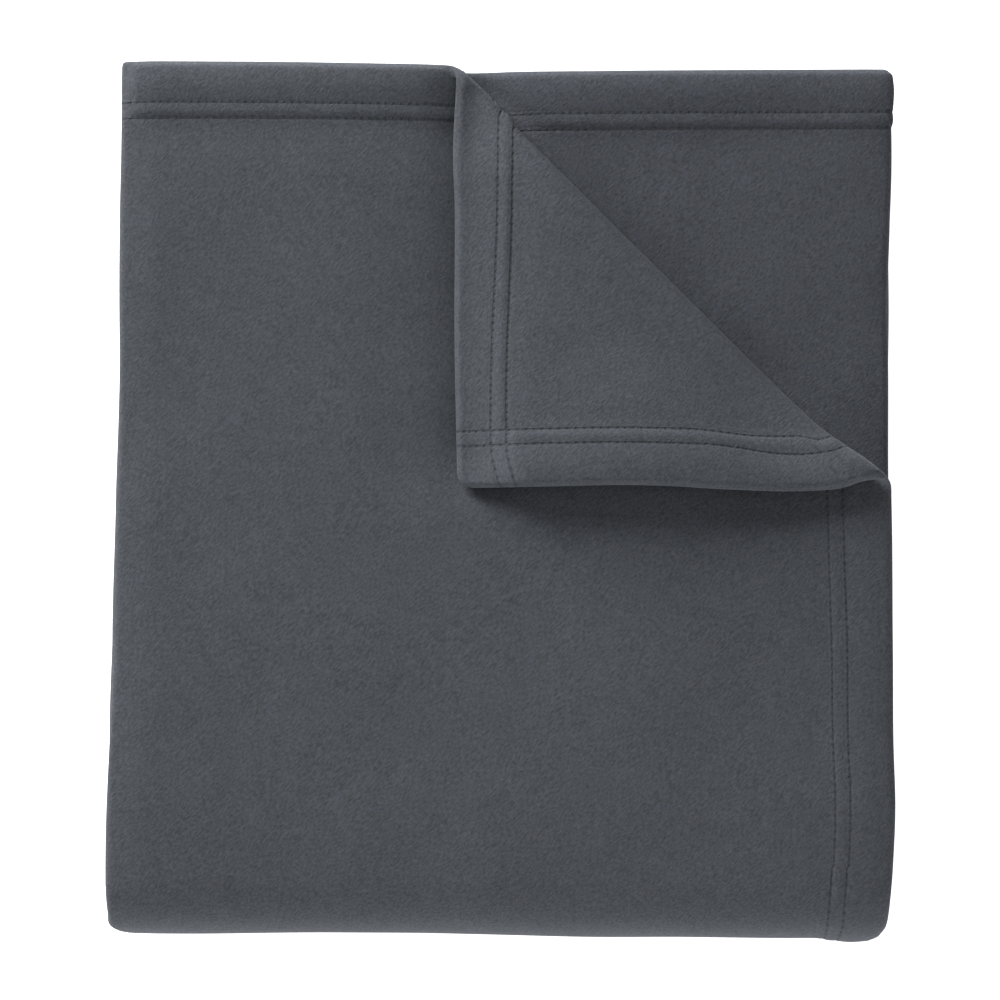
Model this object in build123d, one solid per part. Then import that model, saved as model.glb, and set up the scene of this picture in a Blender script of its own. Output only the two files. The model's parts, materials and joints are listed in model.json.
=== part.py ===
from build123d import *
import math
import os

# A fleece throw blanket, hemmed on all four edges and folded into sixteen layers: a zigzag of four
# panels across (X), then in half twice along (Y). One corner of the top layer is turned back.
# Origin: centre of the underside. +X to the hemmed side, +Y to the hemmed ends, +Z up. Millimetres.

# ---- driving dimensions ----
folded_width = 336.0        # X, left folds to side hems
folded_length = 376.0       # Y, front roll to end hems
cloth = 3.0                 # one layer of fleece, as the stack presses it
air = 0.3                   # between one layer and the next
half_layers = 8             # layers in the lower half, and in the upper half that opens
hem_width = 25.5            # hem edge to where the plain panel begins
outer_row = 17.5            # hem edge to the outer row of stitches
inner_row = 24.0            # hem edge to the inner row of stitches
thread = 0.6                # sewing thread, width and height
groove_width = 1.0          # channel that the stitches pull into the hem
groove_depth = 0.8
hem_slit = 0.2              # between the two plies of a hem
back_recess = 3.0           # back fold stands this far inside the end hems
crease_start = -21.0        # X of the turned corner's crease where it meets the end hem
crease_angle = 44.4         # degrees, crease to the X axis
corner_lift = 5.0           # degrees, how far the turned corner springs up off the top panel
crease_gap = 0.3            # cloth to crease line, each side

# ---- worked out from them ----
layer_count = 2 * half_layers
bundle = half_layers // 2
pitch = cloth + air
stack_height = layer_count * pitch - air
mid_height = stack_height / 2
edge_x = folded_width / 2
edge_y = folded_length / 2
turn_radius = cloth + air / 2            # outside of the tight fold between two layers
fold_x = edge_x - turn_radius            # where the panels meet the left and right folds
hem_x = edge_x - hem_width
hem_y = edge_y - hem_width
front_axis_y = -edge_y + mid_height      # the front roll turns about this line, at mid_height
back_height = bundle * pitch - air / 2   # mid-plane of the back fold, inside the lower half
back_axis_y = edge_y - back_recess - back_height


def layer_floor(number):
    """Underside of a layer; layer 1 is the top one and layer 16 lies on the floor."""
    return (layer_count - number) * pitch


def sheet_column(number):
    """Which of the four panels across the blanket a layer is: the zigzag reverses at every fold along Y."""
    place = (number - 1) % (2 * bundle)
    return place + 1 if place < bundle else 2 * bundle - place


def has_side_hem(number):
    return sheet_column(number) in (1, bundle)


def slab(x_low, x_high, y_low, y_high, z_low, z_high):
    return Pos(x_low, y_low, z_low) * Box(
        x_high - x_low, y_high - y_low, z_high - z_low, align=(Align.MIN, Align.MIN, Align.MIN)
    )


# ---- cross-sections, drawn in X and Z at y = 0 and swept along Y or round a fold ----
def section(sketch):
    return Plane.XZ * sketch


def panel_section(number):
    right = hem_x if has_side_hem(number) else fold_x
    width = right + fold_x
    return section(Pos(right - width / 2, layer_floor(number) + cloth / 2) * Rectangle(width, cloth))


def fold_section(side, lower_number):
    """Half ring that joins a layer to the one above it; side is -1 for the left and +1 for the right."""
    centre_z = layer_floor(lower_number) + cloth + air / 2
    ring = Circle(turn_radius) - Circle(air / 2)
    half = ring & Pos(side * turn_radius / 2, 0) * Rectangle(turn_radius, 2 * turn_radius)
    return section(Pos(side * fold_x, centre_z) * half)


def hem_outline():
    """A hem across its width, edge at x = 0: the cloth turned under once, in two plies, and grooved."""
    plies = Pos(-hem_width / 2 - cloth / 4, 0) * Rectangle(hem_width - cloth / 2, cloth)
    plies += Pos(-cloth / 2, 0) * Circle(cloth / 2)
    plies -= Pos(-hem_width / 2 - cloth / 2, 0) * Rectangle(hem_width - cloth, hem_slit)
    for row in (outer_row, inner_row):
        plies -= Pos(-row, (cloth - groove_depth) / 2) * Rectangle(groove_width, groove_depth)
    return plies


def thread_outline(row):
    return Pos(-row, cloth / 2 - groove_depth + thread / 2) * Rectangle(thread, thread)


def side_section(number, outline):
    return section(Pos(edge_x, layer_floor(number) + cloth / 2) * outline)


# ---- the two ways that a cross-section is carried ----
def run_along_y(face, y_low, y_high):
    return extrude(Pos(0, y_low, 0) * face, amount=y_high - y_low, dir=(0, 1, 0))


def wrap_round(face, axis_y, axis_z, towards):
    """Half turn of a cross-section about a line along X; towards is -1 for the front and +1 for the back."""
    line = Axis((0, axis_y, axis_z), (towards, 0, 0))
    upper = Pos(0, axis_y, 0) * face
    return revolve(upper, axis=line, revolution_arc=-180)


# ---- the flat layers ----
def y_range(number):
    return (front_axis_y, hem_y if number <= half_layers else back_axis_y)


def panel(number):
    return run_along_y(panel_section(number), *y_range(number))


def side_hem(number):
    return run_along_y(side_section(number, hem_outline()), *y_range(number))


def side_stitches(number):
    return [
        run_along_y(side_section(number, thread_outline(row)), *y_range(number))
        for row in (outer_row, inner_row)
    ]


def end_piece(number, outline):
    """A hem or a thread along the far end, over the full width of its layer."""
    right = edge_x if has_side_hem(number) else fold_x
    middle = layer_floor(number) + cloth / 2
    across = Plane(origin=(-fold_x, edge_y, middle), x_dir=(0, 1, 0), z_dir=(1, 0, 0))
    return extrude(across * outline, amount=right + fold_x, dir=(1, 0, 0))


def end_stitches(number):
    return [end_piece(number, thread_outline(row)) for row in (outer_row, inner_row)]


def edge_fold(side, lower_number):
    last_y = edge_y - cloth / 2 if lower_number <= half_layers else back_axis_y
    return run_along_y(fold_section(side, lower_number), front_axis_y, last_y)


# ---- the nested folds that wrap four layers at once ----
def nested_wraps(numbers, axis_y, axis_z, towards):
    faces = [panel_section(n) for n in numbers]
    faces += [side_section(n, hem_outline()) for n in numbers if has_side_hem(n)]
    faces += [fold_section(-1, n) for n in numbers if n % 2 == 0]
    faces += [fold_section(1, n) for n in numbers[1:] if n % 2 == 1]
    return [wrap_round(face, axis_y, axis_z, towards) for face in faces]


# ---- the turned corner ----
crease_across = edge_x - crease_start
crease_end_y = edge_y - crease_across * math.tan(math.radians(crease_angle))
crease_direction = Vector(
    math.cos(math.radians(crease_angle)), -math.sin(math.radians(crease_angle)), 0
)
crease_point = Vector(crease_start, edge_y, stack_height + air / 2)
crease_axis = Axis(crease_point, crease_direction)
crease_length = crease_across / math.cos(math.radians(crease_angle))
# Local plane at the crease: x along it, y out towards the blanket's corner, z up.
crease_plane = Plane(origin=crease_point, x_dir=crease_direction, z_dir=(0, 0, 1))


def beyond_crease(clearance):
    """Everything on the corner's side of the crease, from this far past it."""
    reach = 2 * folded_length
    block = Pos(0, clearance + reach / 2, 0) * Box(2 * reach, reach, 8 * cloth)
    return crease_plane * block


def kept_below_crease(solid):
    return solid - beyond_crease(-crease_gap)


def turned_over(solid):
    """The part of a top-layer solid past the crease, swung back over the top panel."""
    flat = solid & beyond_crease(crease_gap)
    return flat.rotate(crease_axis, 180 - corner_lift)


def corner_fold():
    """The bend along the crease, trimmed to the blanket's edges."""
    cross = Plane(origin=crease_point, x_dir=crease_plane.y_dir, z_dir=crease_direction)
    ring = Circle(turn_radius) - Circle(air / 2)
    half = ring & Pos(turn_radius / 2, 0) * Rectangle(turn_radius, 2 * turn_radius)
    bend = extrude(cross * half, amount=crease_length)
    room = slab(-edge_x, edge_x, -edge_y, edge_y, 0, 2 * stack_height)
    return bend & room


# ---- nodes ----
lower_layers = range(half_layers + 1, layer_count + 1)
upper_layers = range(1, half_layers + 1)
nodes = {}

for number in list(upper_layers) + list(lower_layers):
    nodes[f"panel_{number:02d}"] = panel(number)
    if has_side_hem(number):
        nodes[f"side_hem_{number:02d}"] = side_hem(number)
    if number <= half_layers:
        nodes[f"end_hem_{number:02d}"] = end_piece(number, hem_outline())
    side = -1 if number % 2 == 0 else 1
    joined_above = side == -1 or sheet_column(number) in (2, 3) and sheet_column(number - 1) in (2, 3)
    if number > 1 and joined_above:
        side_name = "left" if side == -1 else "right"
        nodes[f"{side_name}_fold_{number - 1:02d}_{number:02d}"] = edge_fold(side, number)

corner_sources = {"corner_panel": "panel_01", "corner_end_hem": "end_hem_01", "corner_side_hem": "side_hem_01"}
for corner_name, flat_name in corner_sources.items():
    nodes[corner_name] = turned_over(nodes[flat_name])
    nodes[flat_name] = kept_below_crease(nodes[flat_name])
nodes["corner_fold"] = corner_fold()

top_threads = end_stitches(1) + side_stitches(1)
nodes["corner_stitching"] = Compound([turned_over(t) for t in top_threads])
nodes["top_panel_stitching"] = Compound([kept_below_crease(t) for t in top_threads])
nodes["upper_half_stitching"] = Compound(
    [t for n in upper_layers if n > 1 for t in end_stitches(n)]
    + [t for n in upper_layers if n > 1 and has_side_hem(n) for t in side_stitches(n)]
)
nodes["lower_half_stitching"] = Compound(
    [t for n in lower_layers if has_side_hem(n) for t in side_stitches(n)]
)

nodes["front_fold_outer"] = Compound(
    nested_wraps(range(1, bundle + 1), front_axis_y, mid_height, -1)
)
nodes["front_fold_inner"] = Compound(
    nested_wraps(range(bundle + 1, half_layers + 1), front_axis_y, mid_height, -1)
)
nodes["back_fold"] = Compound(
    nested_wraps(range(half_layers + 1, half_layers + bundle + 1), back_axis_y, back_height, 1)
)

os.makedirs("parts", exist_ok=True)
for name, shape in nodes.items():
    export_step(shape, f"parts/{name}.step")
print(len(nodes), "nodes; stack", stack_height, "mm; crease ends at y", round(crease_end_y, 1))
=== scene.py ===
import json
import math

import bmesh
import bpy
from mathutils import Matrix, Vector, noise


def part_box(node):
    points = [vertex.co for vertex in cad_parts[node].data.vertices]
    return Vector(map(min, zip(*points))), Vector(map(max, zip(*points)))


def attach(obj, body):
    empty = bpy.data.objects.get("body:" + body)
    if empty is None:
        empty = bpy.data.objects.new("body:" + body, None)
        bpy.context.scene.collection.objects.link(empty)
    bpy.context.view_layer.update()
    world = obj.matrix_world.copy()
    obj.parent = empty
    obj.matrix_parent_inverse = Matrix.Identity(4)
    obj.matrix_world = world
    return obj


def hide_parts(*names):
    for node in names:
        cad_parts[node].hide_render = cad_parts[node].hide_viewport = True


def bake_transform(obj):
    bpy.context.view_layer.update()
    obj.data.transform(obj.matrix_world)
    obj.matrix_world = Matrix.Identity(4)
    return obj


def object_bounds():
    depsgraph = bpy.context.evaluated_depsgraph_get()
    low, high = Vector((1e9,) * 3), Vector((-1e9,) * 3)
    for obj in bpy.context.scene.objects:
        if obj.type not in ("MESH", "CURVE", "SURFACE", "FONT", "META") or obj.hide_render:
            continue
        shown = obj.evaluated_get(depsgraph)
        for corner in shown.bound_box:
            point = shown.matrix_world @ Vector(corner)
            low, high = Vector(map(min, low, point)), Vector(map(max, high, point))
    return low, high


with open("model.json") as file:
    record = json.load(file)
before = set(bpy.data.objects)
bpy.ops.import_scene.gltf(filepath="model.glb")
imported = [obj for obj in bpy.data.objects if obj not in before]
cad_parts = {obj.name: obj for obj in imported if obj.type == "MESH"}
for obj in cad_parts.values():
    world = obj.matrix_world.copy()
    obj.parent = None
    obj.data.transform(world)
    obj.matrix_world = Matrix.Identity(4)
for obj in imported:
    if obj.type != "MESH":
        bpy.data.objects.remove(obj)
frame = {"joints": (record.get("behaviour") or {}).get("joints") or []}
cad_low, cad_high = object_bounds()

# ---- Top layer ----
# The uppermost of sixteen layers of one fleece sheet, 3 mm thick as it lies. Its far and right edges are
# turned under in a 25 mm hem and sewn with a twin needle; its left edge folds down into the second layer.
# All lengths below are in millimetres, until a point is placed.
mm = 0.001
cloth = 3.0
pitch = 3.3
half = cloth / 2
panel_low, panel_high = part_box("panel_01")
hem_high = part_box("side_hem_01")[1]
left_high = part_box("left_fold_01_02")[1]
edge_x = hem_high.x / mm
edge_y = cad_high.y / mm
front_y = panel_low.y / mm
fold_x = -left_high.x / mm
top_mid = (panel_low.z + panel_high.z) / 2 / mm
stack = panel_high.z / mm
outer_row = 17.5
inner_row = 24.0
nose_radius = pitch / 2
flat_width = edge_x + fold_x
nose_length = math.pi * nose_radius
inner_width = 2 * fold_x
sheet_width = 2 * flat_width + 3 * nose_length + 2 * inner_width
rim_width = 2.6


def ease(low, high, value):
    """0 below low, 1 above high, and a smooth rise between."""
    share = min(1.0, max(0.0, (value - low) / (high - low)))
    return share * share * (3 - 2 * share)


def fade(low, high, value):
    """1 below low, 0 above high, and a smooth fall between."""
    return 1 - ease(low, high, value)


def bump(centre, width, value):
    """1 at the centre, falling smoothly to both sides."""
    return math.exp(-(((value - centre) / width) ** 2))


def waves(x, y, z):
    """Smooth random values about 0; the same point always gives the same value."""
    return noise.noise(Vector((x, y, z)))


def valley(x, y):
    """How far the layers dip under the left edge of the turned corner, and more across the far hem."""
    broad = 2.6 * bump(-14, 33, x)
    narrow = 3.6 * bump(-12, 13, x)
    across_hem = 1 + 0.5 * ease(135, 165, y) * fade(172, 187, y)
    return (broad + narrow) * ease(-12, 22, y) * across_hem


def settle(x, y, z):
    """Where a point of the neatly drawn stack (mm) ends up in the real, softly settled one (m)."""
    height = z / stack
    across = (x + edge_x) / (2 * edge_x)
    rim = ease(0.80, 1.0, abs(2 * across - 1))
    # The sides bulge and lean, and wander a little from layer to layer.
    waist = 0.8 * bump(60, 50, y)
    near_bulge = 1.7 * bump(-138, 34, y)
    near_end = 1.2 * fade(-188, -155, y)
    far_end = 2.8 * ease(80, 160, y)
    lean = 0.0285 * y
    right = 1.3 - waist + near_bulge - near_end
    left = 2.0 + lean - far_end
    x += max(0.0, 1 - across) ** 3 * left + across * right
    x += 1.5 * rim * waves(y / 60, z / 8, 1.7)
    # The two near corners of the roll are rounded in plan, the left one more.
    rounded = 8.0
    corner = 8.0 if across < 0.5 else 5.0
    past = min(0.98, max(0.0, (-edge_y + rounded - y) / rounded))
    x -= math.copysign(corner * (1 - math.sqrt(1 - past * past)) * rim, across - 0.5)
    # The right hem is drawn in just in front of the turned corner.
    x -= 1.5 * ease(-80, -5, y) * fade(4, 20, y) * ease(100, 140, x) * fade(152, 166, x)
    # The roll bulges forward, more to the right; the far edge stands back at the left.
    forward = 3.2 + 2.1 * ease(0.3, 0.8, across) + 1.2 * ease(0.9, 0.97, across)
    y -= forward * fade(-188, -140, y)
    y += 1.2 * ease(140, 188, y) * fade(-150, 0, x)
    y += 0.9 * fade(-188, -150, y) * waves(x / 70, z / 20, 8.1)
    # The top is uneven, falls at its rims, and sinks to the right and over the roll.
    wave = 2.2 * waves(x / 105, y / 95, 5.0) + 0.8 * waves(x / 42, y / 38, 9.0)
    from_left = across * 2 * edge_x
    from_right = 2 * edge_x - from_left
    slump = 1.7 * fade(-1, 17, from_left) + 0.8 * fade(0, 14, from_right) + 0.7 * fade(0, 12, edge_y - y)
    sinking = 8.0 * max(0.0, across - 0.42) ** 2 + 3.5 * fade(-192, -126, y)
    sinking += 2.8 * ease(0.88, 1.02, across) * fade(-165, -120, y)
    z += height * (wave - slump - valley(x, y) - sinking)
    return Vector((x * mm, y * mm, z * mm))


def hem_hump(edge):
    """How far a hem stands above the plain cloth: a full roll near its edge, then two steps down."""
    crest = 8.4
    straight = 13.4
    height = 1.13
    curve = 0.0172
    roll = height - curve * (min(edge, straight) - crest) ** 2
    roll -= 2 * curve * (straight - crest) * max(0.0, edge - straight)
    if edge > outer_row:
        roll = 0.0
    turned_edge = 0.85 * fade(20.8, 24.2, edge)
    padding = 0.70 * fade(22, 29, edge)
    return max(0.0, roll) + turned_edge + padding


def hem_channels(edge):
    """How deep the two rows of stitches pull the face in."""
    outer_channel = 0.20 * bump(outer_row, 0.8, edge)
    inner_channel = 0.28 * bump(inner_row + 0.2, 0.9, edge)
    return outer_channel + inner_channel


def edge_half(edge):
    """Half the cloth's thickness at a distance from a free edge, which is rounded."""
    inside = min(1.0, max(0.0, edge / rim_width))
    thinnest = 0.08
    return max(thinnest, half * math.sqrt(1 - (1 - inside) ** 2))


rim_steps = [0, 0.15, 0.5, 1.0, 1.7, rim_width]
hem_steps = rim_steps + [4, 6, 8.5, 11, 13, 14.4, 15.4, 16.1, 16.7, 17.1, 17.5, 17.9, 18.4, 19.1]
hem_steps += [19.9, 20.8, 21.6, 22.3, 22.9, 23.4, 23.8, 24.2, 24.7, 25.3, 26.2, 27.6, 29.6, 32]
hem_end = hem_steps[-1]


def steps(start, stop, size):
    """Evenly spaced values after start, up to and including stop."""
    count = max(1, round(abs(stop - start) / size))
    return [start + (stop - start) * k / count for k in range(1, count + 1)]


def section(along):
    """The zigzag of four panels, seen from the end: x, height and normal at a length from its edge."""
    turns = [flat_width, nose_length, inner_width, nose_length, inner_width, nose_length, flat_width]
    x = edge_x
    level = 1.5 * pitch
    heading = -1
    for k, length in enumerate(turns):
        last = k == len(turns) - 1
        if k % 2 == 0:
            if along <= length or last:
                return x + heading * along, level, 0.0, -heading
            x += heading * length
        else:
            if along <= length:
                angle = along / nose_radius
                out = heading * nose_radius * math.sin(angle)
                drop = nose_radius * (1 - math.cos(angle))
                return x + out, level - drop, -math.sin(angle), -heading * math.cos(angle)
            level -= pitch
            heading = -heading
        along -= length


def make_sheet(name, lines_u, lines_v, place, cut=None, flat=None):
    """A closed slab of cloth: a grid of the given lines, cut, walled to a second face, and laid in place."""
    bm = bmesh.new()
    across, along = len(lines_u) - 1, len(lines_v) - 1
    bmesh.ops.create_grid(bm, x_segments=across, y_segments=along, size=1)
    for vert in bm.verts:
        column = round((vert.co.x + 1) / 2 * across)
        row = round((vert.co.y + 1) / 2 * along)
        vert.co = (lines_u[column], lines_v[row], -1)
    if cut:
        everything = bm.verts[:] + bm.edges[:] + bm.faces[:]
        point, outwards = cut
        bmesh.ops.bisect_plane(
            bm, geom=everything, dist=0.01, plane_co=point, plane_no=outwards, clear_outer=True
        )
    second = bmesh.ops.extrude_face_region(bm, geom=bm.faces[:])
    for part in second["geom"]:
        if isinstance(part, bmesh.types.BMVert):
            part.co.z = 1
    uv = bm.loops.layers.uv.new("Sheet")
    for face in bm.faces:
        for loop in face.loops:
            u, v = loop.vert.co.x, loop.vert.co.y
            if flat:
                u, v = flat(u, v)
            loop[uv].uv = (u * mm, v * mm)
    for vert in bm.verts:
        vert.co = place(vert.co.x, vert.co.y, vert.co.z)
    bmesh.ops.recalc_face_normals(bm, faces=bm.faces[:])
    for face in bm.faces:
        face.smooth = True
    for edge in bm.edges:
        edge.smooth = edge.calc_face_angle(0) < math.radians(50)
    mesh = bpy.data.meshes.new(name)
    bm.to_mesh(mesh)
    bm.free()
    piece = bpy.data.objects.new(name, mesh)
    bpy.context.scene.collection.objects.link(piece)
    return piece


def from_edges(u, v):
    """The sheet as it was cut: x counted from the side edge, so that the stitch rows follow the hems."""
    return edge_x - min(u, sheet_width - u), v


def node(tree, kind, inputs=None, **settings):
    """Adds a shader node with its settings, values and links."""
    made = tree.nodes.new(kind)
    for key, value in settings.items():
        setattr(made, key, value)
    for socket, value in (inputs or {}).items():
        if isinstance(value, bpy.types.NodeSocket):
            tree.links.new(value, made.inputs[socket])
        else:
            made.inputs[socket].default_value = value
    return made


def math_node(tree, operation, first, second=None):
    """One sum, product or other operation; gives its output."""
    inputs = {0: first} if second is None else {0: first, 1: second}
    return node(tree, "ShaderNodeMath", inputs, operation=operation).outputs[0]


def noise_node(tree, where, size, detail):
    """Noise whose grains are about the given size (mm); gives its output."""
    values = {"Vector": where, "Scale": 1 / (size * mm), "Detail": detail}
    return node(tree, "ShaderNodeTexNoise", values).outputs[0]


def linear(code):
    """An sRGB hex colour as linear RGBA."""
    parts = [int(code[k:k + 2], 16) / 255 for k in (1, 3, 5)]
    return [c / 12.92 if c <= 0.04045 else ((c + 0.055) / 1.055) ** 2.4 for c in parts] + [1.0]


def ramp_node(tree, value, low, low_code, high, high_code):
    """A colour ramp from one sRGB colour at low to another at high."""
    ramp = node(tree, "ShaderNodeValToRGB", {"Fac": value})
    for element, position, code in zip(ramp.color_ramp.elements, (low, high), (low_code, high_code)):
        element.position = position
        element.color = linear(code)
    return ramp


# Brushed polyester fleece: knitted, then raised on both faces, so it is a dull slate grey with a short pile
# that lies in slanting tufts about 1 mm across, and it glows faintly at grazing angles.
fleece = bpy.data.materials.new("brushed_polyester_fleece")
fleece.use_nodes = True
tree = fleece.node_tree
shader = tree.nodes["Principled BSDF"]
where = node(tree, "ShaderNodeTexCoord").outputs["Object"]
tuft_wide = 0.7
tuft_long = 1.7
tuft_slant = 45
slanted = node(
    tree, "ShaderNodeMapping",
    {"Vector": where, "Rotation": (0, 0, math.radians(tuft_slant)),
     "Scale": (tuft_long * mm, tuft_wide * mm, tuft_wide * mm)},
    vector_type="TEXTURE",
).outputs["Vector"]
tufts = node(
    tree, "ShaderNodeTexNoise", {"Vector": slanted, "Scale": 1.0, "Detail": 3.0, "Roughness": 0.62}
).outputs[0]
mottle = noise_node(tree, where, 7, 2.0)
fibre = noise_node(tree, where, 0.5, 2.0)
tint = noise_node(tree, where, 1.1, 1.0)
shade = math_node(
    tree, "ADD", math_node(tree, "MULTIPLY", tufts, 0.88), math_node(tree, "MULTIPLY", mottle, 0.12)
)
pile = ramp_node(tree, shade, 0.34, "#3f4246", 0.68, "#5b5f65")
cast = ramp_node(tree, tint, 0.35, "#fffbf8", 0.65, "#f8fbff")
tinted = node(
    tree, "ShaderNodeMix", {"Factor": 1.0, 6: pile.outputs["Color"], 7: cast.outputs["Color"]},
    data_type="RGBA", blend_type="MULTIPLY",
).outputs[2]
# Needle holes: 3.4 mm apart, in two rows along every hem, on the sheet's own map. The holes and the channels
# of the rows are pressed in by the bump and darkened in the colour as painted shade.
hole_pitch = 3.4
hole_share = (0.22, 0.44)
row_half_widths = (0.15, 0.85)
on_sheet = node(tree, "ShaderNodeSeparateXYZ", {0: node(tree, "ShaderNodeUVMap", uv_map="Sheet").outputs[0]})
holes = seam = None
for axis, other, edge in ((0, 1, edge_x), (1, 0, edge_y)):
    share = math_node(tree, "FRACT", math_node(tree, "DIVIDE", on_sheet.outputs[other], hole_pitch * mm))
    away = math_node(tree, "ABSOLUTE", math_node(tree, "SUBTRACT", share, 0.5))
    dot = node(
        tree, "ShaderNodeMapRange", {"Value": away, "From Min": hole_share[0], "From Max": hole_share[1]},
        interpolation_type="SMOOTHSTEP",
    ).outputs[0]
    for row in (outer_row, inner_row):
        gap = math_node(tree, "SUBTRACT", on_sheet.outputs[axis], (edge - row) * mm)
        drawn = node(
            tree, "ShaderNodeMapRange",
            {"Value": math_node(tree, "ABSOLUTE", gap), "From Min": row_half_widths[0] * mm,
             "From Max": row_half_widths[1] * mm, "To Min": 1.0, "To Max": 0.0},
            interpolation_type="SMOOTHSTEP",
        ).outputs[0]
        hole = math_node(tree, "MULTIPLY", drawn, dot)
        holes = math_node(tree, "MAXIMUM", holes, hole) if holes else hole
        seam = math_node(tree, "MAXIMUM", seam, drawn) if seam else drawn
channel_relief_and_shade = math_node(
    tree, "ADD", math_node(tree, "MULTIPLY", holes, 0.55), math_node(tree, "MULTIPLY", seam, 0.45)
)
# Painted shade: the holes and the stitch channels are coloured towards near-black, as the shade in them.
painted_hole_shade = math_node(tree, "MULTIPLY", channel_relief_and_shade, 0.5)
with_painted_hole_shade = node(
    tree, "ShaderNodeMix", {"Factor": painted_hole_shade, 6: tinted, 7: linear("#1d1f22")}, data_type="RGBA",
).outputs[2]
tree.links.new(with_painted_hole_shade, shader.inputs["Base Color"])
lift = math_node(
    tree, "ADD", math_node(tree, "MULTIPLY", tufts, 0.7), math_node(tree, "MULTIPLY", fibre, 0.3)
)
lift = math_node(tree, "SUBTRACT", lift, channel_relief_and_shade)
raised = node(tree, "ShaderNodeBump", {"Height": lift, "Strength": 0.55, "Distance": 0.9 * mm})
tree.links.new(raised.outputs["Normal"], shader.inputs["Normal"])
shader.inputs["Roughness"].default_value = 0.95
shader.inputs["Specular IOR Level"].default_value = 0.2
shader.inputs["Sheen Weight"].default_value = 0.14
shader.inputs["Sheen Roughness"].default_value = 0.6
shader.inputs["Sheen Tint"].default_value = linear("#b9bdc6")

crease_x = -21.0
crease_turn = math.radians(44.4)
crease_run = Vector((math.cos(crease_turn), -math.sin(crease_turn)))
crease_back = Vector((-math.sin(crease_turn), -math.cos(crease_turn)))
# The top layer ends a little before the crease, where the turned corner's own cloth takes over.
cut_back = 8.0
cut_point = Vector((crease_x, edge_y)) + cut_back * crease_back


def hem_pull(x):
    """How far the top layer's side hem has been drawn inwards by its own weight."""
    return 2.6 * ease(95, 143, x) * fade(150, 168, x)


def both_reliefs(end_edge, side_edge, end_share=1.0, side_share=1.0, sewn=1.0):
    """Relief of a face near two hems, fading out over the rounded rim."""
    rim = min(1.0, max(0.0, end_edge / rim_width), max(0.0, side_edge / rim_width))
    humps = max(end_share * hem_hump(end_edge), side_share * hem_hump(side_edge))
    channels = max(end_share * hem_channels(end_edge), side_share * hem_channels(side_edge))
    return rim * (humps - sewn * channels)


side_hem_share = 0.45


def place_top(u, v, side):
    """A point of the top layer: u runs from its right edge and round the left fold, v is its y."""
    x, level, out, up = section(u)
    end_edge = edge_y - v
    if u > flat_width:
        thick = edge_half(end_edge)
    else:
        thick = edge_half(min(end_edge, u))
        if side > 0:
            thick += both_reliefs(end_edge, u, 1.0, side_hem_share)
        x -= hem_pull(x)
    x += side * thick * out
    z = top_mid - 1.5 * pitch + level + side * thick * up
    return settle(x, v, z)


seen_grid = 3.2
seen_nose_grid = 0.65
lines_u = hem_steps + steps(hem_end, flat_width, seen_grid)
lines_u += steps(flat_width, flat_width + nose_length, seen_nose_grid)
wrap_flat = 5.0
lines_v = [edge_y - s for s in hem_steps] + steps(edge_y - hem_end, front_y + wrap_flat, seen_grid)
top_layer = make_sheet(
    "top_layer", lines_u, lines_v, place_top,
    cut=((edge_x - cut_point.x, cut_point.y, 0), (crease_back.x, -crease_back.y, 0)), flat=from_edges,
)
top_layer.data.materials.append(fleece)
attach(top_layer, "upper_half")
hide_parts("panel_01", "end_hem_01", "side_hem_01", "left_fold_01_02")

# ---- Turned corner ----
# The far right corner of the top layer, turned back over it. The hems are stiff, so the fold stays open at
# its ends, the near edge stands a little off the layer below, and the left edge comes down to it.


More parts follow.
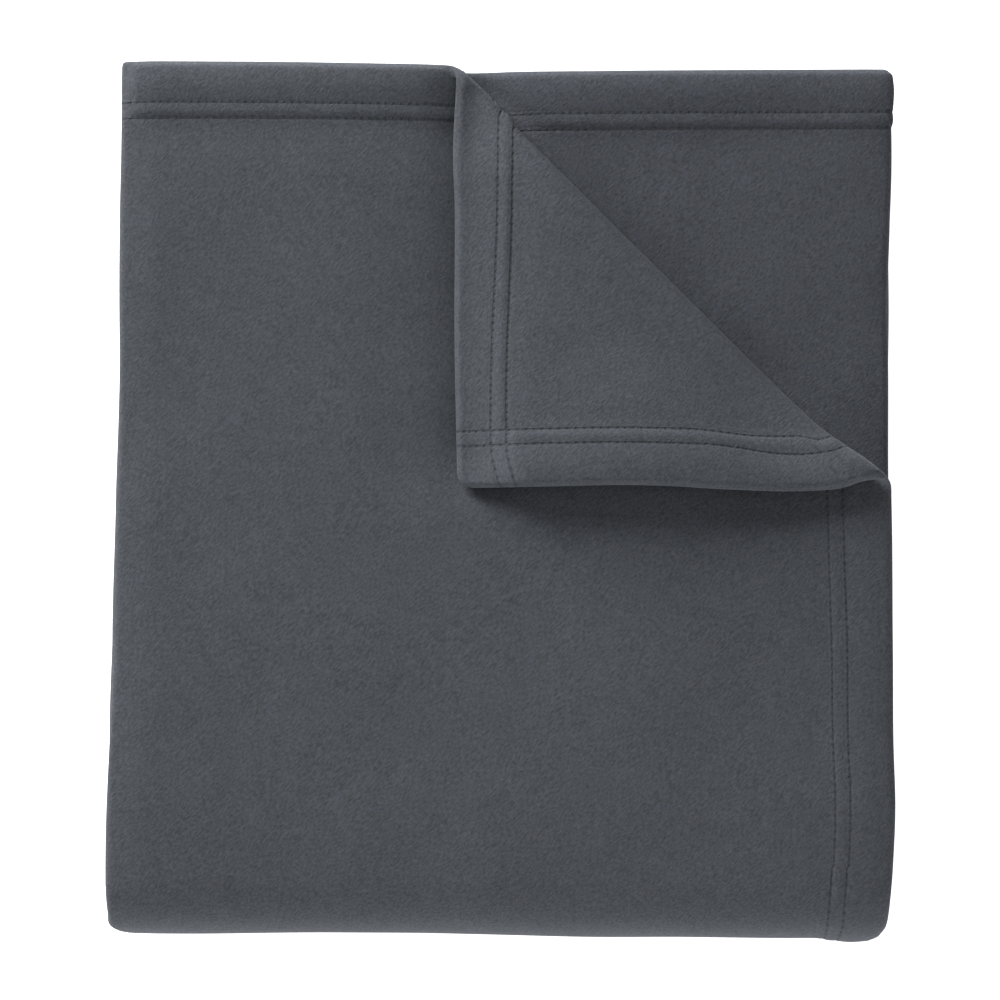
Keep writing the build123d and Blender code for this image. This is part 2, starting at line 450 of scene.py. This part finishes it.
def corner_mid(x, y):
    """Middle of the cloth for a point of the flat sheet, and how far it has turned (radians)."""
    end_edge, side_edge = edge_y - y, edge_x - x
    tip = 7.0
    if end_edge < tip and side_edge < tip:
        a, b = tip - end_edge, tip - side_edge
        pull = max(a, b) / max(1e-6, math.hypot(a, b))
        x, y = edge_x - tip + b * pull, edge_y - tip + a * pull
    offset = Vector((x - crease_x, y - edge_y))
    beyond = -offset.dot(crease_back)
    run = offset.dot(crease_run)
    radius = 2.6 + 1.2 * fade(0, 35, run) + 2.3 * ease(205, 264, run)
    outline = 1.5 - 1.5 * fade(0, 32, run) - 6.0 * ease(215, 272, run)
    back = radius + half + outline
    arc = beyond + back
    turned = arc / radius
    shift_x = -hem_pull(x) * fade(-2, 5, arc)
    shift_y = 0.0
    if arc <= 0:
        distance, height = beyond, 0.0
    elif arc < math.pi * radius:
        distance = -back + radius * math.sin(arc / radius)
        height = radius * (1 - math.cos(arc / radius))
    else:
        past = arc - math.pi * radius
        grow = ease(0, 45, past)
        distance = -back - past
        # The near edge stands up, the left edge lies low, and the cloth between them is a little uneven.
        near_edge = 7.4 * fade(0, 125, side_edge) * ease(5, 32, end_edge)
        near_edge *= 1 - 0.5 * ease(100, 185, end_edge)
        left_hem = (0.7 * ease(0, 18, end_edge) - 0.4) * fade(30, 80, end_edge) * ease(10, 60, past)
        uneven = 1.2 * waves(x / 55, y / 55, 3.0) * ease(0, 60, past)
        at = Vector((crease_x, edge_y)) + run * crease_run - distance * crease_back
        bridging = 0.4 * valley(at.x, at.y)
        height = 2 * radius + (near_edge + left_hem + uneven + bridging) * grow
        # The near edge and its rows of stitches run nearly straight, and dip towards the right.
        bow = 7.2 * fade(0, 115, side_edge) * (1 - 0.8 * ease(60, 185, end_edge))
        rows = 1.8 * ease(2, 17, side_edge) * fade(30, 80, side_edge) * fade(110, 170, end_edge)
        rim = 0.9 * fade(0, 14, side_edge) * fade(80, 130, end_edge)
        inner_bend = 2.3 * bump(147, 21, end_edge) * ease(17.5, 24, side_edge) * fade(26, 70, side_edge)
        right_end = 2.2 * fade(0, 25, side_edge) * ease(115, 170, end_edge)
        shift_y = (bow + rows + rim) * grow + inner_bend * ease(0, 8, past) - right_end * ease(0, 10, past)
        shift_x += 1.3 * fade(0, 10, end_edge) * bump(140, 45, side_edge) * grow
    # The end hem, which now runs down the left, leans a little to the right at its far end.
    hemward = ease(0, 16, end_edge) * fade(26, 70, end_edge) * ease(1.4, math.pi, turned)
    shift_x += hemward * (3.6 - 5.2 * ease(0, 170, 189 - side_edge))
    shift_x += 3.4 * hemward * fade(0, 18, side_edge)
    plan = Vector((crease_x, edge_y)) + run * crease_run - distance * crease_back
    return Vector((plan.x + shift_x, plan.y + shift_y, top_mid + height)), turned


def flat_corner(x, y, side, sink=0.0):
    """The corner before it is turned: a point of the flat sheet at one face, or at a depth below it."""
    end_edge, side_edge = edge_y - y, edge_x - x
    turned = corner_mid(x, y)[1]
    over = ease(0.8, 2.9, turned)
    amount = 1 - 0.6 * ease(0, 1.2, turned) if side > 0 else over
    side_share = side_hem_share * (1 + over)
    away = -Vector((x - crease_x, y - edge_y)).dot(crease_back)
    sewn = ease(3, 24, away) if side < 0 else fade(-6, 0, away)
    relief = both_reliefs(end_edge, side_edge, 1.0, side_share, sewn) * amount
    thick = edge_half(min(end_edge, side_edge)) + relief - sink
    if sink:
        thick -= 1.2 * fade(8, 24, away)
    return Vector((x * mm, y * mm, (top_mid + side * thick) * mm))


def turn_over(piece):
    """Spreads the turn over the width of the fold while the piece is flat, then folds it into place."""
    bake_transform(piece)
    step = 0.05
    for vert in piece.data.vertices:
        x, y, height = vert.co.x / mm, vert.co.y / mm, vert.co.z / mm - top_mid
        x, y = min(x, edge_x), min(y, edge_y)
        sign_x = 1 if edge_x - x > step else -1
        sign_y = 1 if edge_y - y > step else -1
        middle = corner_mid(x, y)[0]
        by_x = sign_x * (corner_mid(x + sign_x * step, y)[0] - middle)
        by_y = sign_y * (corner_mid(x, y + sign_y * step)[0] - middle)
        p = middle + height * by_x.cross(by_y).normalized()
        vert.co = settle(p.x, p.y, p.z)
    piece.data.update()


corner_grid = 1.15
corner_left = crease_x - 14
corner_near = -11.0
lines_x = [edge_x - s for s in rim_steps] + steps(edge_x - rim_width, corner_left, corner_grid)
lines_y = [edge_y - s for s in rim_steps] + steps(edge_y - rim_width, corner_near, corner_grid)
turned_corner = make_sheet(
    "turned_corner", lines_x, lines_y, flat_corner,
    cut=((cut_point.x, cut_point.y, 0), (crease_back.x, crease_back.y, 0)),
)
turned_corner.data.materials.append(fleece)
turn_over(turned_corner)
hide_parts("corner_panel", "corner_end_hem", "corner_side_hem", "corner_fold")

# ---- Second to fourth layers ----
# The rest of the outer bundle of the upper half: one strip of the same sheet that doubles back at the right
# and at the left, and ends at the right in a side hem. The second layer's far hem shows where the corner is
# turned, and the strip's fleece is coloured a little darker, as painted shade.
far_recess = {1: 0.0, 2: 2.5, 3: 3.3, 4: 2.9, 5: 3.7, 6: 3.0, 7: 3.5, 8: 3.1}
panel_starts = [
    0.0, flat_width + nose_length, flat_width + inner_width + 2 * nose_length,
    flat_width + 2 * inner_width + 3 * nose_length,
]
panel_widths = [flat_width, inner_width, inner_width, flat_width]
recess_lean = 0.011
row_shift = 2.1
free_face = 0.9


def place_bundle(top_number, u, v, side, shown=False):
    """A point of a zigzag of four layers in the upper half, counted down from top_number."""
    x, level, out, up = section(u)
    end_edge = edge_y - v
    side_edge = min(u, sheet_width - u)
    thick = edge_half(min(end_edge, side_edge))
    if side * up > 0.5:
        second_layer = flat_width < u < flat_width + 1.5 * nose_length + inner_width
        open_air = 0.0
        if shown and second_layer:
            offset = Vector((x - crease_x, v - edge_y))
            open_air = ease(3, 14, -offset.dot(crease_back))
        sewn = max(hem_channels(end_edge), hem_channels(side_edge))
        thick += free_face * open_air * both_reliefs(end_edge, side_edge) - (1 - open_air) * sewn
    # Each layer's far edge stands back by its own amount, less to the right, and the rows a little more.
    depth = (1.5 * pitch - level) / pitch
    above = max(0, min(2, int(depth)))
    recesses = [far_recess[top_number + k] for k in range(4)]
    recess = recesses[above] + (recesses[above + 1] - recesses[above]) * min(1.0, max(0.0, depth - above))
    y = v - (recess - recess_lean * max(0.0, x - 40)) * ease(100, edge_y, v)
    y -= row_shift * ease(0, 30, end_edge) * ease(60, 150, v)
    z = top_mid - (top_number - 1) * pitch - 1.5 * pitch + level + side * thick * up
    return settle(x + side * thick * out, y, z)


hidden_grid = 7
hidden_nose_grid = 0.75


def folds_and_panels(first):
    """Lines across the folds and panels after the first numbered panel, up to the hem of the last one."""
    lines = []
    for k in range(first, 3):
        stop = panel_starts[k + 1] + panel_widths[k + 1] - (hem_end if k == 2 else 0)
        lines += steps(panel_starts[k + 1] - nose_length, panel_starts[k + 1], hidden_nose_grid)
        lines += steps(panel_starts[k + 1], stop, hidden_grid)
    return lines


last_hem = [sheet_width - s for s in reversed(hem_steps[:-1:2])]
lines_u = [panel_starts[1]] + steps(panel_starts[1], panel_starts[1] + inner_width, 3.6)
lines_u += folds_and_panels(1) + last_hem
second_layers = make_sheet(
    "second_to_fourth_layers", lines_u, lines_v,
    lambda u, v, side: place_bundle(1, u, v, side, shown=True), flat=from_edges,
)
# A copy of the fleece in a darker grey: painted shade on the second to fourth layers.
painted_shade_fleece = fleece.copy()
painted_shade_fleece.name = "fleece_with_painted_shade"
painted_shade_ramp = painted_shade_fleece.node_tree.nodes[pile.name].color_ramp
painted_shade_ramp.elements[0].color = linear("#3b3d41")
painted_shade_ramp.elements[1].color = linear("#555960")
second_layers.data.materials.append(painted_shade_fleece)
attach(second_layers, "upper_half")
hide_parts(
    "panel_02", "panel_03", "panel_04", "end_hem_02", "end_hem_03", "end_hem_04",
    "side_hem_04", "right_fold_02_03", "left_fold_03_04",
)

# ---- Fifth to eighth layers ----
# The inner bundle of the upper half, between the near roll and the end hems. Its lowest layer is the one that
# faces up when the blanket is opened as a book.
first_hem = hem_steps[:-1:2] + [hem_end]
lines_u = first_hem + steps(hem_end, flat_width, hidden_grid) + folds_and_panels(0) + last_hem
lines_v_plain = [edge_y - s for s in hem_steps] + steps(edge_y - hem_end, front_y + wrap_flat, 6)
inner_layers = make_sheet(
    "fifth_to_eighth_layers", lines_u, lines_v_plain,
    lambda u, v, side: place_bundle(5, u, v, side), flat=from_edges,
)
inner_layers.data.materials.append(fleece)
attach(inner_layers, "upper_half")
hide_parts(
    "panel_05", "panel_06", "panel_07", "panel_08", "end_hem_05", "end_hem_06", "end_hem_07",
    "end_hem_08", "side_hem_05", "side_hem_08", "left_fold_05_06", "left_fold_07_08", "right_fold_06_07",
)

# ---- Lower half ----
# The eight layers under the middle: the same four-panel zigzag runs along the floor, round the fold at the
# far end, and back to the near roll. It rests on the floor and carries everything else.
back_low, back_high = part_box("back_fold")
back_y = back_low.y / mm
back_mid = (back_low.z + back_high.z) / 2 / mm
back_arc = math.pi * 2 * pitch
run_length = back_y - (front_y + wrap_flat)


def place_lower(u, v, side):
    """v runs along the floor to the far fold, round it, and back above; the zigzag's top turns downwards."""
    x, level, out, up = section(u)
    side_edge = min(u, sheet_width - u)
    thick = edge_half(side_edge)
    turn = min(1.0, max(0.0, (v - run_length) / back_arc)) * math.pi
    reach = 2 * pitch + level
    if side * up > 0.5:
        thick -= hem_channels(side_edge)
    y = front_y + wrap_flat + min(v, run_length) - max(0.0, v - run_length - back_arc)
    radial = reach + side * thick * up
    y += radial * math.sin(turn)
    z = back_mid - radial * math.cos(turn)
    return settle(x + side * thick * out, y, max(0.0, z))


lines_v_lower = [0] + steps(0, run_length, hidden_grid) + steps(run_length, run_length + back_arc, 1.4)
lines_v_lower += steps(run_length + back_arc, 2 * run_length + back_arc, hidden_grid)
beyond_hems = -1000


def away_from_end(u, v):
    """As from_edges, for cloth that is nowhere near the end hem."""
    return from_edges(u, v)[0], beyond_hems - v


lower_layers = make_sheet("lower_half_layers", lines_u, lines_v_lower, place_lower, flat=away_from_end)
lower_layers.data.materials.append(fleece)
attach(lower_layers, "lower_half")
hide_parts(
    *["panel_%02d" % n for n in range(9, 17)],
    "side_hem_09", "side_hem_12", "side_hem_13", "side_hem_16", "left_fold_09_10", "left_fold_11_12",
    "left_fold_13_14", "left_fold_15_16", "right_fold_10_11", "right_fold_14_15", "back_fold",
)

# ---- Near roll ----
# Where all the layers turn over at the near end, one wrap inside another. Each wrap is its own piece.
front_mid = frame["joints"][0]["pos_m"][2] / mm
far_away = 99.0
between_halves = 0.15
for number in range(1, 9):
    radius = front_mid - (number - 1) * pitch - half
    place_in = (number - 1) % 4
    grid = seen_grid if number == 1 else hidden_grid
    begin = panel_starts[place_in] - nose_length / 2
    if place_in == 0:
        wrap_u = (hem_steps if number == 1 else first_hem) + steps(hem_end, flat_width, grid)
        wrap_u += steps(flat_width, flat_width + nose_length / 2, seen_nose_grid)
    elif place_in == 3:
        wrap_u = [begin] + steps(begin, begin + nose_length / 2, hidden_nose_grid)
        wrap_u += steps(wrap_u[-1], sheet_width - hem_end, grid) + last_hem
    else:
        wrap_u = [begin] + steps(begin, begin + nose_length / 2, hidden_nose_grid)
        wrap_u += steps(wrap_u[-1], wrap_u[-1] + inner_width, grid)
        wrap_u += steps(wrap_u[-1], wrap_u[-1] + nose_length / 2, hidden_nose_grid)
    arc_length = math.pi * max(radius, half)
    wrap_v = [0.0] + steps(0, wrap_flat, 2.5)
    wrap_v += steps(wrap_flat, wrap_flat + arc_length, max(1.0, arc_length / 26))
    wrap_v += steps(wrap_flat + arc_length, 2 * wrap_flat + arc_length, 2.5)

    def place_wrap(u, v, side):
        """v runs from the top of the stack, round the near end, to the floor side."""
        x, level, out, up = section(u)
        side_edge = min(u, sheet_width - u)
        thick = edge_half(side_edge)
        turn = min(1.0, max(0.0, (v - wrap_flat) / arc_length)) * math.pi
        lying = (1 + math.cos(turn)) / 2
        if side * up > 0.5:
            if number == 1:
                thick += both_reliefs(far_away, side_edge, 1.0, side_hem_share)
            else:
                thick -= hem_channels(side_edge)
        pull = hem_pull(x) * lying if number == 1 else 0
        bundle_mid = front_mid - (2 * pitch if number < 5 else 6 * pitch) + between_halves
        radial = bundle_mid + level + side * thick * up
        y = front_y + max(0.0, wrap_flat - v) + max(0.0, v - wrap_flat - arc_length)
        y -= radial * math.sin(turn)
        z = front_mid + radial * math.cos(turn)
        return settle(x + side * thick * out - pull, y, max(0.0, z))

    wrap = make_sheet("near_roll_wrap_%d" % number, wrap_u, wrap_v, place_wrap, flat=away_from_end)
    wrap.data.materials.append(fleece)
    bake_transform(wrap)
    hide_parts("front_fold_outer" if number < 5 else "front_fold_inner")

# ---- Stitching ----
# Spun polyester sewing thread, 0.5 mm thick and a little darker than the fleece. Two rows, 6.5 mm apart, hold
# every hem; each row dips through the cloth every 3.4 mm and lies sunk in the channel that it has drawn.
spun_thread = bpy.data.materials.new("spun_polyester_thread")
spun_thread.use_nodes = True
tree = spun_thread.node_tree
shader = tree.nodes["Principled BSDF"]
where = node(tree, "ShaderNodeTexCoord").outputs["Object"]
plies = ramp_node(tree, noise_node(tree, where, 0.6, 2.0), 0.3, "#2d3034", 0.75, "#484b50")
tree.links.new(plies.outputs["Color"], shader.inputs["Base Color"])
shader.inputs["Roughness"].default_value = 0.6
thread_radius = 0.26
end_radius = 0.02
dips = (0.9, 0.3, 0.12, 0.3)
swells = (0.8, 1.0, 1.05, 1.0)


def add_row(bm, start, stop, at):
    """One row of thread from start to stop (mm along the hem); at gives a point on the cloth for a depth."""
    stitches = round(abs(stop - start) / hole_pitch)
    along = stitches * len(dips)
    made = bmesh.ops.create_grid(bm, x_segments=along, y_segments=6, size=1)["verts"]
    places = []
    for k in range(along + 1):
        value = start + (stop - start) * k / along
        dip = dips[k % len(dips)]
        places.append((at(value, dip), at(value, dip - 0.5)))
    for vert in made:
        k = round((vert.co.x + 1) / 2 * along)
        angle = (vert.co.y + 1) * math.pi
        here, above = places[k]
        ahead = places[min(along, k + 1)][0] - places[max(0, k - 1)][0]
        up = (above - here).normalized()
        sideways = ahead.cross(up).normalized()
        radius = end_radius if k in (0, along) else swells[k % len(swells)] * thread_radius
        vert.co = here + radius * mm * (math.cos(angle) * sideways + math.sin(angle) * up)
    bmesh.ops.remove_doubles(bm, verts=made, dist=0.03 * mm)


def finish_thread(bm, name):
    """Closes the rows' ends and makes the piece."""
    bmesh.ops.holes_fill(bm, edges=[e for e in bm.edges if e.is_boundary], sides=8)
    bmesh.ops.recalc_face_normals(bm, faces=bm.faces[:])
    for face in bm.faces:
        face.smooth = True
    mesh = bpy.data.meshes.new(name)
    bm.to_mesh(mesh)
    bm.free()
    piece = bpy.data.objects.new(name, mesh)
    bpy.context.scene.collection.objects.link(piece)
    piece.data.materials.append(spun_thread)
    return piece


row_near = front_y + 6
row_margin = 1


def crease_ends(row, back):
    """Where a row reaches the crease, less some distance: x on the far hem, y on the right one."""
    along_x = crease_x + row / math.tan(crease_turn) - back
    along_y = edge_y - (edge_x - row - crease_x) * math.tan(crease_turn) - back
    return along_x, along_y


bm = bmesh.new()
for row in (outer_row, inner_row):
    stop_x, stop_y = crease_ends(row, 7.5)
    add_row(bm, -fold_x, stop_x, lambda x, d: place_top(edge_x - x, edge_y - row, 1 - d / half))
    add_row(bm, row_near, stop_y, lambda y, d: place_top(row, y, 1 - d / half))
top_stitching = finish_thread(bm, "top_layer_stitching")
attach(top_stitching, "upper_half")
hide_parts("top_panel_stitching")

bm = bmesh.new()
for row in (outer_row, inner_row):
    start_x, start_y = crease_ends(row, 7.0)
    add_row(bm, start_x, edge_x - row_margin, lambda x, d: flat_corner(x, edge_y - row, -1, sink=d))
    add_row(bm, start_y, edge_y - row_margin, lambda y, d: flat_corner(edge_x - row, y, -1, sink=d))
corner_stitching = finish_thread(bm, "turned_corner_stitching")
turn_over(corner_stitching)
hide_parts("corner_stitching")

bm = bmesh.new()
for row in (outer_row, inner_row):
    for number in range(2, 9):
        top_number = 1 if number < 5 else 5
        place_in = number - top_number
        begin = panel_starts[place_in]
        face = 1 if place_in in (0, 2) else -1
        add_row(
            bm, begin + row_margin, begin + panel_widths[place_in] - row_margin,
            lambda u, d: place_bundle(
                top_number, u, edge_y - row, face * (1 - d / half), shown=top_number == 1
            ),
        )
        if place_in in (0, 3):
            u_row = row if place_in == 0 else sheet_width - row
            add_row(
                bm, row_near, edge_y - row_margin,
                lambda y, d: place_bundle(top_number, u_row, y, face * (1 - d / half)),
            )
upper_stitching = finish_thread(bm, "upper_half_stitching_rows")
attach(upper_stitching, "upper_half")
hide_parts("upper_half_stitching")

bm = bmesh.new()
for row in (outer_row, inner_row):
    for u_row, face in ((row, 1), (sheet_width - row, -1)):
        for begin, end in ((0, run_length), (run_length + back_arc, 2 * run_length + back_arc)):
            add_row(
                bm, begin + row_margin, end - row_margin,
                lambda v, d: place_lower(u_row, v, face * (1 - d / half)),
            )
lower_stitching = finish_thread(bm, "lower_half_stitching_rows")
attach(lower_stitching, "lower_half")
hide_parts("lower_half_stitching")

# ---- Floor, light and camera ----
# A plain white table top that also glows, one broad soft light low at the far left, a weaker one from the
# near side, and an even soft light overhead. The camera looks straight down.
table_reach = 4
table_gap = 0.0004
bm = bmesh.new()
bmesh.ops.create_grid(bm, x_segments=2, y_segments=2, size=table_reach)
mesh = bpy.data.meshes.new("table_top")
bm.to_mesh(mesh)
bm.free()
floor = bpy.data.objects.new("table_top", mesh)
floor.location.z = -table_gap
bpy.context.scene.collection.objects.link(floor)
paper = bpy.data.materials.new("white_paper")
paper.use_nodes = True
shader = paper.node_tree.nodes["Principled BSDF"]
shader.inputs["Base Color"].default_value = linear("#f7f7f7")
shader.inputs["Roughness"].default_value = 0.9
shader.inputs["Emission Color"].default_value = linear("#ffffff")
shader.inputs["Emission Strength"].default_value = 1.0
floor.data.materials.append(paper)


def soft_light(name, direction, distance, size, watts):
    """A square lamp of the given size (m) that faces the middle of the blanket."""
    lamp = bpy.data.lights.new(name, "AREA")
    lamp.shape = "SQUARE"
    lamp.size = size
    lamp.energy = watts
    holder = bpy.data.objects.new(name, lamp)
    away = Vector(direction).normalized()
    holder.location = away * distance + Vector((0, 0, stack * mm))
    holder.rotation_euler = away.to_track_quat("Z", "Y").to_euler()
    bpy.context.scene.collection.objects.link(holder)


soft_light("key_light", (-0.56, 0.76, 0.32), 2.8, 1.4, 142)
soft_light("near_fill", (0.05, -0.95, 0.20), 1.9, 1.0, 26)
soft_light("overhead", (-0.1, 0.1, 1.0), 2.2, 1.6, 5)
world = bpy.data.worlds.new("studio")
world.use_nodes = True
world.node_tree.nodes["Background"].inputs["Color"].default_value = linear("#ffffff")
world.node_tree.nodes["Background"].inputs["Strength"].default_value = 0.15
bpy.context.scene.world = world
bpy.context.scene.view_settings.view_transform = "Standard"

field = 0.430
lens = 85
sensor = 36
camera_data = bpy.data.cameras.new("camera")
camera_data.lens = lens
camera_data.sensor_width = sensor
camera = bpy.data.objects.new("camera", camera_data)
camera.location = (0, 0, stack * mm + field * lens / sensor)
bpy.context.scene.collection.objects.link(camera)
bpy.context.scene.camera = camera
